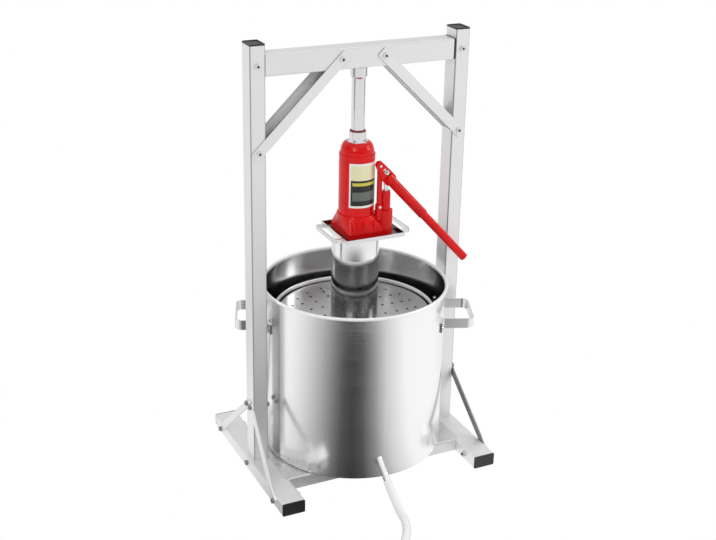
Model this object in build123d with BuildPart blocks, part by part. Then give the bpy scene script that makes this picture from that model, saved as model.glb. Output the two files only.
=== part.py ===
from build123d import *
from math import asin, cos, degrees, hypot, pi, radians, sin, sqrt, tan
import os

# A hydraulic fruit press: a tube frame, a pot with a perforated basket, and a bottle jack that
# stands on a tray over the press plate and pushes against the crossbeam.
# Millimetres, +Z up, +X to the operator's right, the operator stands at -Y.
# The origin is on the floor under the middle of the frame.

# Clearances
seat_gap = 0.05
run_gap = 0.08
slide_gap = 0.4

# Frame tubes
tube_wall = 1.5
tube_corner = 2.5
post_width = 30.0
post_depth = 40.0
post_clearance = 15.0
overall_height = 870.0
foot_width = 46.0
foot_height = 26.0
foot_length = 378.0
beam_height = 40.0
beam_drop = 20.0

# Plastic plugs
cap_head = 3.0
cap_depth = 14.0
cap_recess = 1.2
cap_border = 3.0
foot_cap_head = 2.0
beam_plug_head = 4.0
plug_wall = 2.0

# Platform
sheet = 2.0
bend_radius = 3.0
platform_inset = 76.0
platform_flange = 25.0
platform_lip = 7.0

# Corner braces of angle section
brace_leg = 20.0
brace_flange = 16.0
brace_sheet = 2.0
brace_end = 12.0
brace_corner = 3.0
brace_inset = 1.0
brace_rise = 162.0
brace_top_x = 44.0

# Stays from post to foot
stay_width = 14.0
stay_sheet = 3.0
stay_inset = 41.0
stay_foot_z = 13.0
stay_post_y = 9.5
stay_post_z = 143.0
stay_post_tab = 15.0
stay_foot_tab = 28.0

# Fasteners
bolt_radius = 3.0
hole_gap = 0.2
head_flats = 10.0
head_height = 4.0
nut_height = 5.0
bolt_tail = 1.5
tenon_length = 70.0

# Pot
pot_inner_radius = 180.0
pot_wall = 1.2
pot_rim_height = 376.0
pot_corner = 5.0
pot_bead = 3.2
corner_steps = 3
bead_sides = 8
handle_turn = -22.0
handle_reach = 56.0
handle_span = 100.0
handle_strap = 3.0
handle_height = 20.0
handle_below_rim = 85.0
handle_corner = 14.0
handle_foot = 26.0
rivet_radius = 2.5
rivet_head = 4.5
rivet_dome = 1.8

# Drain
spout_turn = -98.0
spout_height = 68.0
spout_heading = -91.0
spout_drop = 35.0
spout_length = 45.0
spout_root_depth = 12.0
spout_radius = 6.5
spout_bore = 5.0
hose_diameter = 16.0

# Basket
basket_gap = 23.0
basket_wall = 1.2
basket_below_rim = 59.0
basket_corner = 8.0
basket_bead = 2.5
slot_width = 6.0
slot_count = 16
slot_rows = 3
slot_lowest = 70.0
slot_below_rim = 77.0
slot_bridge = 25.0

# Press stack
plate_gap = 3.5
plate_thick = 5.0
plate_edge = 1.0
plate_below_rim = 8.0
plate_hole = 3.0
plate_ring_insets = (89.5, 67.5, 45.5, 27.5)
plate_ring_counts = (10, 14, 18, 22)
column_radius = 47.0
column_wall = 2.0
jack_reach = 331.0
tray_sheet = 2.0
tray_size_x = 126.0
tray_size_y = 122.0
tray_shift = 15.0
tray_height = 7.5
tray_corner = 4.0
tray_handle_reach = 20.0
tray_handle_span = 90.0
tray_handle_strap = 4.0

# Jack; rises are above the tray's floor
base_left = 35.0
base_right = 51.0
base_half_depth = 44.0
base_corner = 5.0
base_skirt = 9.0
base_rise = 40.0
base_top_radius = 37.5
rib_spots = (-24.0, -1.0, 21.0)
rib_thick = 4.0
rib_knee = 18.0
rib_lean = 1.5
reservoir_radius = 35.0
reservoir_wall = 3.0
reservoir_rise = 152.0
cap_skirt = 8.0
cap_neck_radius = 21.5
dome_steps = 6
cap_rise = 183.0
cylinder_bore = 15.0
cylinder_wall = 4.0
cylinder_foot_rise = 19.0
cylinder_rise = 171.0
gland_radius = 16.5
gland_rise = 203.0
gland_flare = 20.5
wiper_height = 3.5
wiper_radius = 15.0
ram_radius = 13.2
ram_length = 183.0
piston_height = 14.0
cup_height = 6.0
screw_radius = 8.0
screw_depth = 60.0
saddle_radius = 16.0
saddle_height = 22.7
saddle_gap = 0.3

# Pump lever, in a plane beside the reservoir; rises are above the tray's floor
lever_x = 33.5
lever_y = -31.5
lever_rise = 139.0
lever_yaw = -7.0
lever_droop = 47.6
lever_arm = 14.0
tube_drop = 4.8
cheek_gap = 7.6
cheek_thick = 2.7
cheek_nose = 7.5
socket_radius = 13.0
socket_start = 26.0
socket_mouth = 40.0
handle_radius = 10.0
handle_wall = 1.5
handle_start = 28.5
handle_join = 142.0
extension_radius = 8.4
extension_wall = 1.3
extension_start = 100.0
handle_tip = 279.0
pin_radius = 2.5
pin_slack = 1.7
pump_radius = 8.7
pump_foot_rise = 27.0
pump_rise = 82.0
pump_gland_height = 5.0
piston_radius = 5.0
piston_foot_rise = 60.0
piston_floor_rise = 51.0
blade_rise = 90.0
blade_half = 4.2
notch_end = 47.0
notch_top = 1.5
boss_radius = 13.5
boss_rise = 49.0
link_half = 4.2
link_eye = 5.0
link_foot_rise = 56.0
ear_radius = 5.6
ear_thick = 3.0
valve_y = -2.0
valve_rise = 19.0
valve_boss_radius = 11.0
valve_boss_end = 68.0
valve_radius = 4.5
valve_depth = 24.0
valve_reach = 6.0
plug_radius = 5.0
plug_turn = 118.0
plug_rise = 141.0

# Worked out from the values above
post_gap = 2 * (pot_inner_radius + post_clearance)
half_gap = post_gap / 2
post_x = half_gap + post_width / 2
foot_x = post_x
foot_side = foot_width / 2
post_top = overall_height - cap_head
beam_top = overall_height - beam_drop
beam_bottom = beam_top - beam_height
beam_mid = beam_top - beam_height / 2
face_y = post_depth / 2
brace_low_x = post_x - brace_inset
brace_run = brace_low_x - brace_top_x
brace_low_z = beam_mid - brace_rise
pot_bottom = foot_height + sheet
pot_outer_radius = pot_inner_radius + pot_wall
platform_depth = foot_length - 2 * platform_inset
handle_bottom = pot_rim_height - handle_below_rim
basket_radius = pot_inner_radius - basket_gap
basket_rim_height = pot_rim_height - basket_below_rim
slot_pitch = (basket_rim_height - slot_below_rim - slot_lowest) / (slot_rows - 1)
slot_length = slot_pitch - slot_bridge
plate_radius = basket_radius - plate_gap
plate_top = basket_rim_height - plate_below_rim
stay_foot_y = foot_length / 2 - stay_inset
tray_bottom = beam_bottom - jack_reach
tray_floor = tray_bottom + tray_sheet
base_top = tray_floor + base_rise
reservoir_top = tray_floor + reservoir_rise
cap_top = tray_floor + cap_rise
cylinder_bottom = tray_floor + cylinder_foot_rise
cylinder_top = tray_floor + cylinder_rise
gland_top = tray_floor + gland_rise
saddle_top = beam_bottom - saddle_gap
ram_top = saddle_top - saddle_height
ram_foot = ram_top - ram_length
lever_z = tray_floor + lever_rise
pump_bottom = tray_floor + pump_foot_rise
pump_top = tray_floor + pump_rise
piston_foot = tray_floor + piston_foot_rise
piston_floor = tray_floor + piston_floor_rise
blade_start = tray_floor + blade_rise
boss_top = tray_floor + boss_rise
link_foot_z = tray_floor + link_foot_rise
valve_z = tray_floor + valve_rise
plug_height = tray_floor + plug_rise
plate_bottom = plate_top - plate_thick
lever_dir = Vector(cos(radians(lever_yaw)), sin(radians(lever_yaw)), 0)
lever_side = Vector(-sin(radians(lever_yaw)), cos(radians(lever_yaw)), 0)
lever_pivot = Vector(lever_x, lever_y, lever_z)
upright = Vector(0, 0, 1)
droop = radians(lever_droop)
handle_dir = lever_dir * cos(droop) - upright * sin(droop)
lever_plane = Plane(origin=lever_pivot, x_dir=handle_dir, z_dir=-lever_side)
pump_axis = Vector(lever_x, lever_y, 0) + lever_dir * lever_arm
pin_z = lever_z - lever_arm * tan(droop)


def tube_plane(along):
    """A plane across the handle, its origin on the tube's axis."""
    return Plane(
        origin=lever_plane.from_local_coords(Vector(along, -tube_drop, 0)),
        x_dir=lever_side,
        z_dir=handle_dir,
    )


def save(part, name):
    part.label = name
    export_step(part, f"parts/{name}.step")


def tube_section(width, height):
    """A rectangular tube's section with rounded corners."""
    with BuildSketch() as section:
        RectangleRounded(width, height, tube_corner)
        inner = tube_corner - tube_wall
        RectangleRounded(width - 2 * tube_wall, height - 2 * tube_wall, inner, mode=Mode.SUBTRACT)
    return section.sketch


os.makedirs("parts", exist_ok=True)


# Feet: flat tubes along Y, the post goes in through the top wall
tube_length = foot_length - 2 * foot_cap_head
for side, name in ((-1, "left_foot"), (1, "right_foot")):
    foot_centre = Vector(side * foot_x, tube_length / 2, foot_height / 2)
    with BuildPart() as foot:
        with BuildSketch(Plane(origin=foot_centre, x_dir=(1, 0, 0), z_dir=(0, -1, 0))):
            add(tube_section(foot_width, foot_height))
        extrude(amount=tube_length)
        with BuildSketch(Plane.XY.offset(foot_height - tube_wall - 1)):
            with Locations((side * foot_x, 0)):
                RectangleRounded(
                    post_width + 2 * seat_gap, post_depth + 2 * seat_gap, tube_corner
                )
        extrude(amount=tube_wall + 2, mode=Mode.SUBTRACT)
        with BuildSketch(Plane.YZ.offset(side * foot_x - foot_width)):
            with Locations((0, stay_foot_z), (-stay_foot_y, stay_foot_z), (stay_foot_y, stay_foot_z)):
                Circle(bolt_radius + hole_gap)
        extrude(amount=2 * foot_width, mode=Mode.SUBTRACT)
    save(foot.part, name)

# Plugs in the ends of the feet
with BuildPart() as foot_caps:
    for side in (-1, 1):
        for end in (-1, 1):
            cap_plane = Plane(
                origin=(side * foot_x, end * tube_length / 2, foot_height / 2),
                x_dir=(1, 0, 0),
                z_dir=(0, end, 0),
            )
            with BuildSketch(cap_plane):
                RectangleRounded(foot_width, foot_height, tube_corner)
            extrude(amount=foot_cap_head)
            with BuildSketch(cap_plane):
                Rectangle(foot_width - 2 * (tube_wall + slide_gap), foot_height - 2 * (tube_wall + slide_gap))
                Rectangle(
                    foot_width - 2 * (tube_wall + slide_gap + plug_wall),
                    foot_height - 2 * (tube_wall + slide_gap + plug_wall),
                    mode=Mode.SUBTRACT,
                )
            extrude(amount=-cap_depth)
save(foot_caps.part, "foot_end_caps")

# Posts stand on the bottom wall of the feet
for side, name in ((-1, "left_post"), (1, "right_post")):
    with BuildPart() as post:
        with BuildSketch(Plane.XY.offset(tube_wall)):
            with Locations((side * post_x, 0)):
                add(tube_section(post_width, post_depth))
        extrude(amount=post_top - tube_wall)
        # Cross holes from side to side: foot bolt and stay bolts
        with BuildSketch(Plane.YZ.offset(side * post_x - post_width)):
            with Locations((0, stay_foot_z), (-stay_post_y, stay_post_z), (stay_post_y, stay_post_z)):
                Circle(bolt_radius + hole_gap)
        extrude(amount=2 * post_width, mode=Mode.SUBTRACT)
        # Cross holes from front to rear: brace bolt and beam bolt
        with BuildSketch(Plane.XZ.offset(-post_depth)):
            with Locations((side * brace_low_x, brace_low_z), (side * post_x, beam_mid)):
                Circle(bolt_radius + hole_gap)
        extrude(amount=2 * post_depth, mode=Mode.SUBTRACT)
        # The inner wall is open for the beam's tenon
        with BuildSketch(Plane.YZ.offset(side * half_gap - 2 * tube_wall)):
            with Locations((0, beam_mid)):
                Rectangle(
                    post_depth - 2 * tube_wall - 2 * slide_gap,
                    beam_height - 2 * tube_wall - 2 * slide_gap + 2 * seat_gap,
                )
        extrude(amount=4 * tube_wall, mode=Mode.SUBTRACT)
    save(post.part, name)

# Plugs in the tops of the posts
with BuildPart() as post_caps:
    for side in (-1, 1):
        with BuildSketch(Plane.XY.offset(post_top)):
            with Locations((side * post_x, 0)):
                RectangleRounded(post_width, post_depth, tube_corner)
        extrude(amount=cap_head)
        with BuildSketch(Plane.XY.offset(post_top)):
            with Locations((side * post_x, 0)):
                Rectangle(
                    post_width - 2 * (tube_wall + slide_gap), post_depth - 2 * (tube_wall + slide_gap)
                )
                Rectangle(
                    post_width - 2 * (tube_wall + slide_gap + plug_wall),
                    post_depth - 2 * (tube_wall + slide_gap + plug_wall),
                    mode=Mode.SUBTRACT,
                )
        extrude(amount=-cap_depth)
        with BuildSketch(Plane.XY.offset(overall_height)):
            with Locations((side * post_x, 0)):
                Rectangle(post_width - 2 * cap_border, post_depth - 2 * cap_border)
        extrude(amount=-cap_recess, mode=Mode.SUBTRACT)
save(post_caps.part, "post_top_caps")

# Crossbeam: the right end stops short for the head of its plug
beam_length = post_gap - beam_plug_head
with BuildPart() as beam:
    with BuildSketch(Plane.YZ.offset(-half_gap)):
        with Locations((0, beam_mid)):
            add(tube_section(post_depth, beam_height))
    extrude(amount=beam_length)
    with BuildSketch(Plane.XZ.offset(-post_depth)):
        with Locations((-brace_top_x, beam_mid), (brace_top_x, beam_mid)):
            Circle(bolt_radius + hole_gap)
    extrude(amount=2 * post_depth, mode=Mode.SUBTRACT)
save(beam.part, "crossbeam")

tenon_depth = post_depth - 2 * tube_wall - 2 * slide_gap - 2 * seat_gap
tenon_height = beam_height - 2 * tube_wall - 2 * slide_gap
with BuildPart() as beam_plug:
    with BuildSketch(Plane.YZ.offset(half_gap - beam_plug_head)):
        with Locations((0, beam_mid)):
            RectangleRounded(post_depth, beam_height, tube_corner)
            Rectangle(tenon_depth + 2 * seat_gap, tenon_height + 2 * seat_gap, mode=Mode.SUBTRACT)
    extrude(amount=beam_plug_head)
save(beam_plug.part, "beam_end_plug")

# Tenons: hollow blocks that slide from the beam into the posts
tenon_in = post_width - 2 * tube_wall
with BuildPart() as tenons:
    for side in (-1, 1):
        start = half_gap + tube_wall + tenon_in - 1
        with BuildSketch(Plane.YZ.offset(side * start)):
            with Locations((0, beam_mid)):
                Rectangle(tenon_depth, tenon_height)
                Rectangle(tenon_depth - 2 * tube_wall, tenon_height - 2 * tube_wall, mode=Mode.SUBTRACT)
        extrude(amount=-side * tenon_length)
    with BuildSketch(Plane.XZ.offset(-post_depth)):
        with Locations((-post_x, beam_mid), (post_x, beam_mid)):
            Circle(bolt_radius + hole_gap)
    extrude(amount=2 * post_depth, mode=Mode.SUBTRACT)
save(tenons.part, "beam_tenons")

# Platform: a sheet that lies on the feet, its front and rear edges bent down
inner_foot_x = foot_x - foot_side
with BuildPart() as platform:
    with BuildSketch(Plane.YZ.offset(-inner_foot_x + slide_gap)):
        with BuildLine():
            top = pot_bottom - sheet / 2
            low = pot_bottom - platform_flange
            edge = platform_depth / 2 - sheet / 2
            FilletPolyline((-edge, low), (-edge, top), (edge, top), (edge, low), radius=bend_radius)
        trace(line_width=sheet)
    extrude(amount=2 * (inner_foot_x - slide_gap))
    with BuildSketch(Plane.XY.offset(foot_height)):
        Rectangle(2 * (inner_foot_x + platform_lip), platform_depth - 2 * (bend_radius + sheet))
    extrude(amount=sheet)
save(platform.part, "platform")

# Corner braces: a flat leg on the frame's face and a flange between the tubes
brace_length = hypot(brace_run, brace_rise)
for face, depth_name in ((-1, "front"), (1, "rear")):
    for side, side_name in ((-1, "left"), (1, "right")):
        low = Vector(side * brace_low_x, face * face_y, brace_low_z)
        along = Vector(-side * brace_run, 0, brace_rise).normalized()
        leg_plane = Plane(origin=low, x_dir=along, z_dir=(0, face, 0))
        across = Vector(-along.Z * side, 0, -abs(along.X)).normalized()
        inward = leg_plane.to_local_coords(low + across).Y
        with BuildPart() as brace:
            with BuildSketch(leg_plane):
                with Locations((brace_length / 2, 0)):
                    RectangleRounded(brace_length + 2 * brace_end, brace_leg, brace_corner)
                with Locations((0, 0), (brace_length, 0)):
                    Circle(bolt_radius + hole_gap, mode=Mode.SUBTRACT)
            extrude(amount=brace_sheet)
            with BuildSketch(leg_plane):
                with Locations((brace_length / 2, inward * (brace_leg - brace_sheet) / 2)):
                    Rectangle(brace_length + 2 * brace_end, brace_sheet)
            extrude(amount=-brace_flange)
            # The flange is trimmed where the leg laps the post and the beam
            with BuildSketch(Plane.XZ.offset(-face * face_y)):
                with Locations((side * (half_gap + 2 * post_width - slide_gap), brace_low_z)):
                    Rectangle(4 * post_width, 8 * post_width)
                with Locations((side * brace_top_x, beam_bottom + 2 * beam_height - slide_gap)):
                    Rectangle(8 * beam_height, 4 * beam_height)
            extrude(amount=face * post_depth, mode=Mode.SUBTRACT)
        save(brace.part, f"{depth_name}_{side_name}_brace")

# Stays: flat straps with bent tabs, from the post's outer face to the foot's outer face
stay_out = foot_x + foot_side
post_out = post_x + post_width / 2
for side, side_name in ((-1, "left"), (1, "right")):
    for end, end_name in ((-1, "front"), (1, "rear")):
        high = Vector(end * stay_post_y, stay_post_z)
        low = Vector(end * stay_foot_y, stay_foot_z)
        lean = (low - high).normalized()
        lean_dir = Vector(0, lean.X, lean.Y)
        out_dir = Vector(side, 0, 0)
        strap_origin = Vector(side * post_out, high.X, high.Y)
        strap_plane = Plane(origin=strap_origin, x_dir=lean_dir, z_dir=lean_dir.cross(out_dir) * side)
        reach = (low - high).length
        step = (stay_out - post_out) * (1 if strap_plane.y_dir.X * side > 0 else -1)
        thick = stay_sheet * (1 if step > 0 else -1)
        with BuildPart() as stay:
            with BuildSketch(strap_plane):
                with BuildLine():
                    Polyline(
                        (-stay_width / 2, 0),
                        (stay_post_tab, 0),
                        (reach - stay_foot_tab, step),
                        (reach + stay_width / 2, step),
                        (reach + stay_width / 2, step + thick),
                        (reach - stay_foot_tab, step + thick),
                        (stay_post_tab, thick),
                        (-stay_width / 2, thick),
                        close=True,
                    )
                make_face()
            extrude(amount=stay_width / 2, both=True)
            corners = [
                edge
                for edge in stay.edges().filter_by(Axis.X)
                if abs(edge.length - stay_sheet) < 0.01
            ]
            fillet(corners, stay_width / 2 - 0.5)
            with BuildSketch(Plane.YZ.offset(side * (post_out - stay_sheet))):
                with Locations((high.X, high.Y), (low.X, low.Y)):
                    Circle(bolt_radius + hole_gap)
            extrude(amount=side * (stay_out + 3 * stay_sheet), mode=Mode.SUBTRACT)
        save(stay.part, f"{side_name}_{end_name}_stay")


# Bolts: each has the plane under its head, facing along the shank, and the length it clamps
def bolt_plane(spot, direction):
    """The seat of a bolt's head, its normal along the shank."""
    return Plane(origin=spot, x_dir=(0, 0, 1), z_dir=direction)


brace_spots = [
    (side * x, z)
    for side in (-1, 1)
    for x, z in ((brace_top_x, beam_mid), (brace_low_x, brace_low_z))
]
foot_spots = [(side, y) for side in (-1, 1) for y in (-stay_foot_y, 0, stay_foot_y)]
stay_spots = [(side, end * stay_post_y) for side in (-1, 1) for end in (-1, 1)]
bolt_sets = {
    "brace_bolts": [
        (bolt_plane((x, -face_y - brace_sheet, z), (0, 1, 0)), post_depth + 2 * brace_sheet)
        for x, z in brace_spots
    ],
    "beam_bolts": [
        (bolt_plane((side * post_x, -face_y, beam_mid), (0, 1, 0)), post_depth) for side in (-1, 1)
    ],
    "foot_bolts": [
        (
            bolt_plane((side * (stay_out + (stay_sheet if y else 0)), y, stay_foot_z), (-side, 0, 0)),
            foot_width + (stay_sheet if y else 0),
        )
        for side, y in foot_spots
    ],
    "stay_bolts": [
        (bolt_plane((side * (post_out + stay_sheet), y, stay_post_z), (-side, 0, 0)), post_width + stay_sheet)
        for side, y in stay_spots
    ],
}
nut_planes = []
for name, seats in bolt_sets.items():
    with BuildPart() as bolts:
        for seat, grip in seats:
            nut_planes.append(seat.offset(grip))
            with BuildSketch(seat):
                RegularPolygon(head_flats / 2, 6, major_radius=False)
            extrude(amount=-head_height)
            with BuildSketch(seat):
                Circle(bolt_radius)
            extrude(amount=grip + nut_height + bolt_tail)
    save(bolts.part, name)

with BuildPart() as frame_nuts:
    for seat in nut_planes:
        with BuildSketch(seat):
            RegularPolygon(head_flats / 2, 6, major_radius=False)
            Circle(bolt_radius + seat_gap, mode=Mode.SUBTRACT)
        extrude(amount=nut_height)
save(frame_nuts.part, "frame_nuts")


def vessel_bottom(inner_radius, wall, floor, corner):
    """Half the section of a spun vessel's flat bottom with its rounded corner."""
    bends = [radians(90 / corner_steps * step) for step in range(corner_steps + 1)]
    centre = (inner_radius + wall - corner, floor + corner)
    inner_corner = corner - wall
    outside = [(centre[0] + corner * sin(bend), centre[1] - corner * cos(bend)) for bend in bends]
    inside = [(centre[0] + inner_corner * sin(bend), centre[1] - inner_corner * cos(bend)) for bend in bends]
    with BuildSketch() as section:
        with BuildLine():
            Polyline((0, floor), *outside, *reversed(inside), (0, floor + wall), close=True)
        make_face()
    return section.sketch


def vessel_wall(inner_radius, wall, foot, rim, bead):
    """Half the section of a vessel's wall with its rolled rim."""
    outer_radius = inner_radius + wall
    top = rim - bead
    with BuildSketch() as section:
        with BuildLine():
            foot_line = [(inner_radius, foot), (outer_radius, foot)]
            Polyline(*foot_line, (outer_radius, top), (inner_radius, top), close=True)
        make_face()
        with Locations((outer_radius + bead - wall, top)):
            RegularPolygon(bead, bead_sides, rotation=180 / bead_sides)
    return section.sketch


# Pot and its drain hole
spout_out = Vector(cos(radians(spout_turn)), sin(radians(spout_turn)), 0)
spout_level = Vector(cos(radians(spout_heading)), sin(radians(spout_heading)), 0)
spout_root = spout_out * pot_outer_radius + upright * spout_height
spout_dir = spout_level * cos(radians(spout_drop)) - upright * sin(radians(spout_drop))
spout_axis = Plane(origin=spout_root - spout_dir * spout_root_depth, z_dir=spout_dir)
handle_ends = (handle_turn, handle_turn + 180)
foot_arc = degrees(handle_foot / pot_outer_radius)
arm_arc = degrees(asin((handle_span / 2 - handle_strap) / pot_outer_radius))
rivet_arcs = (arm_arc + 0.62 * foot_arc,)
rivet_turns = [turn + flip * arc for turn in handle_ends for arc in rivet_arcs for flip in (-1, 1)]
rivet_heights = (handle_bottom + 5, handle_bottom + handle_height - 5)


def rivet_planes(radius):
    """Planes on the pot's wall at the rivets, facing outwards."""
    return [
        Plane(
            origin=(radius * cos(radians(turn)), radius * sin(radians(turn)), height),
            z_dir=(cos(radians(turn)), sin(radians(turn)), 0),
        )
        for turn in rivet_turns
        for height in rivet_heights
    ]


with BuildPart() as pot_base:
    with BuildSketch(Plane.XZ):
        add(vessel_bottom(pot_inner_radius, pot_wall, pot_bottom, pot_corner))
    revolve(axis=Axis.Z)
save(pot_base.part, "pot_base")

with BuildPart() as pot:
    with BuildSketch(Plane.XZ):
        add(vessel_wall(pot_inner_radius, pot_wall, pot_bottom + pot_corner, pot_rim_height, pot_bead))
    revolve(axis=Axis.Z)
    with BuildSketch(spout_axis):
        Circle(spout_radius + seat_gap)
    extrude(amount=2 * spout_root_depth, mode=Mode.SUBTRACT)
    for plane in rivet_planes(pot_inner_radius - 2):
        with BuildSketch(plane):
            Circle(rivet_radius + seat_gap)
        extrude(amount=6, mode=Mode.SUBTRACT)
save(pot.part, "outer_pot")

with BuildPart() as spout:
    with BuildSketch(spout_axis):
        Circle(spout_radius)
        Circle(spout_bore, mode=Mode.SUBTRACT)
    extrude(amount=spout_root_depth + spout_length)
    with BuildSketch(Plane.XY.offset(pot_bottom)):
        Circle(pot_inner_radius)
    extrude(amount=2 * spout_height, mode=Mode.SUBTRACT)
save(spout.part, "drain_spout")

# Hose: leaves the spout in line, comes down to the floor and lies on it in a long curve
floor_z = hose_diameter / 2 + 0.2
hose_start = spout_root + spout_dir * (spout_length + seat_gap)
hose_touch = hose_start + spout_dir * ((hose_start.Z - floor_z) / sin(radians(spout_drop)))
hose_points = [
    (hose_start.X, hose_start.Y, hose_start.Z),
    (hose_touch.X, hose_touch.Y, floor_z),
    (-32.0, -312.0, floor_z),
    (-60.0, -362.0, floor_z),
    (-104.0, -402.0, floor_z),
    (-161.0, -420.0, floor_z),
    (-221.0, -420.0, floor_z),
    (-280.0, -408.0, floor_z),
]
corners = [Vector(*point) for point in hose_points]
hose_radii = []
for before, here, after in zip(corners, corners[1:], corners[2:]):
    turn = (here - before).get_angle(after - here)
    shorter = min((here - before).length, (after - here).length)
    hose_radii.append(0.45 * shorter / tan(radians(turn / 2)))
with BuildPart() as hose:
    with BuildLine() as hose_line:
        FilletPolyline(*hose_points, radius=hose_radii)
    with BuildSketch(Plane(origin=corners[0], z_dir=corners[1] - corners[0])):
        Circle(hose_diameter / 2)
    sweep()
hose_section = pi * hose_diameter**2 / 4
print("hose radii", [round(radius) for radius in hose_radii])
print("hose length", round(hose_line.wires()[0].length), "volume ratio",
      round(hose.part.volume / (hose_section * hose_line.wires()[0].length), 4))
save(hose.part, "drain_hose")

# Pot handles: a strap bent to a loop, its ends turned out along the wall
for turn, name in ((handle_turn, "right_pot_handle"), (handle_turn + 180, "left_pot_handle")):
    with BuildPart() as pot_handle:
        with BuildSketch(Plane.XY.rotated((0, 0, turn)).offset(handle_bottom)):
            depth = 2 * handle_reach
            with Locations((pot_outer_radius + handle_reach - depth / 2, 0)):
                RectangleRounded(depth, handle_span, handle_corner)
                RectangleRounded(
                    depth - 2 * handle_strap,
                    handle_span - 2 * handle_strap,
                    handle_corner - handle_strap,
                    mode=Mode.SUBTRACT,
                )
            Circle(pot_outer_radius + handle_strap, mode=Mode.SUBTRACT)
            with Locations((-pot_outer_radius, 0)):
                Rectangle(3 * pot_outer_radius, 3 * pot_outer_radius, mode=Mode.SUBTRACT)
            with BuildSketch(mode=Mode.PRIVATE) as ring:
                Circle(pot_outer_radius + handle_strap + 0.02)
                Circle(pot_outer_radius + seat_gap, mode=Mode.SUBTRACT)
            with BuildSketch(mode=Mode.PRIVATE) as wedge:
                for flip in (-1, 1):
                    with BuildLine():
                        a0 = radians(flip * (arm_arc - 0.05))
                        a1 = radians(flip * (arm_arc + foot_arc))
                        far = 2 * pot_outer_radius
                        near_side = (far * cos(a0), far * sin(a0))
                        far_side = (far * cos(a1), far * sin(a1))
                        Polyline((0, 0), near_side, far_side, close=True)
                    make_face()
            add(ring.sketch & wedge.sketch)
        extrude(amount=handle_height)
        for plane in rivet_planes(pot_outer_radius - 2):
            with BuildSketch(plane):
                Circle(rivet_radius + seat_gap)
            extrude(amount=3 * handle_strap, mode=Mode.SUBTRACT)
    save(pot_handle.part, name)

rivet_length = 1 + pot_wall + handle_strap + seat_gap + 0.1
with BuildPart() as rivets:
    for plane in rivet_planes(pot_inner_radius - 1):
        with BuildSketch(plane):
            Circle(rivet_radius)
        extrude(amount=rivet_length)
        with BuildSketch(plane.offset(rivet_length)):
            Circle(rivet_head)
        extrude(amount=rivet_dome, taper=35)
        with BuildSketch(plane):
            Circle(rivet_head)
        extrude(amount=-1)
save(rivets.part, "handle_rivets")

# Basket: slots all round the wall let the juice out
with BuildPart() as basket:
    basket_floor = pot_bottom + pot_wall
    with BuildSketch(Plane.XZ):
        add(vessel_bottom(basket_radius, basket_wall, basket_floor, basket_corner))
        add(
            vessel_wall(
                basket_radius, basket_wall, basket_floor + basket_corner, basket_rim_height, basket_bead
            )
        )
    revolve(axis=Axis.Z)
    for row in range(slot_rows):
        height = slot_lowest + row * slot_pitch
        for index in range(slot_count):
            turn = 360 / slot_count * index
            direction = Vector(cos(radians(turn)), sin(radians(turn)), 0)
            slot_plane = Plane(
                origin=direction * (basket_radius - 3) + upright * height, x_dir=(0, 0, 1), z_dir=direction
            )
            with BuildSketch(slot_plane):
                Rectangle(slot_length, slot_width)
            extrude(amount=8, mode=Mode.SUBTRACT)
save(basket.part, "inner_basket")

# Press plate, column and tray
with BuildPart() as plate:
    with BuildSketch(Plane.XY.offset(plate_bottom)):
        Circle(plate_radius)
        for ring_inset, count in zip(plate_ring_insets, plate_ring_counts):
            with PolarLocations(plate_radius - ring_inset, count):
                Circle(plate_hole, mode=Mode.SUBTRACT)
    extrude(amount=plate_thick)
    chamfer(plate.edges().filter_by(GeomType.CIRCLE).sort_by(SortBy.RADIUS)[-2:], plate_edge)
save(plate.part, "press_plate")

with BuildPart() as column:
    with BuildSketch(Plane.XY.offset(plate_top)):
        Circle(column_radius)
        Circle(column_radius - column_wall, mode=Mode.SUBTRACT)
    extrude(amount=tray_bottom - plate_top)
save(column.part, "press_column")

with BuildPart() as tray:
    with BuildSketch(Plane.XY.offset(tray_bottom)):
        with Locations((tray_shift, 0)):
            RectangleRounded(tray_size_x, tray_size_y, tray_corner)
    extrude(amount=tray_height)
    with BuildSketch(Plane.XY.offset(tray_floor)):
        with Locations((tray_shift, 0)):
            RectangleRounded(
                tray_size_x - 2 * tray_sheet, tray_size_y - 2 * tray_sheet, tray_corner - tray_sheet
            )
    extrude(amount=tray_height, mode=Mode.SUBTRACT)
save(tray.part, "jack_tray")

for side, name in ((-1, "left_tray_handle"), (1, "right_tray_handle")):
    with BuildPart() as tray_handle:
        with BuildSketch(Plane.XY.offset(tray_bottom)):
            tray_edge = tray_shift + side * tray_size_x / 2
            with Locations((tray_edge, 0)):
                RectangleRounded(2 * tray_handle_reach, tray_handle_span, 2 * tray_handle_strap)
                RectangleRounded(
                    2 * (tray_handle_reach - tray_handle_strap),
                    tray_handle_span - 2 * tray_handle_strap,
                    tray_handle_strap,
                    mode=Mode.SUBTRACT,
                )
            with Locations((tray_edge - side * tray_handle_reach, 0)):
                Rectangle(2 * tray_handle_reach, 2 * tray_handle_span, mode=Mode.SUBTRACT)
        extrude(amount=tray_height)
    save(tray_handle.part, name)

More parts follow.
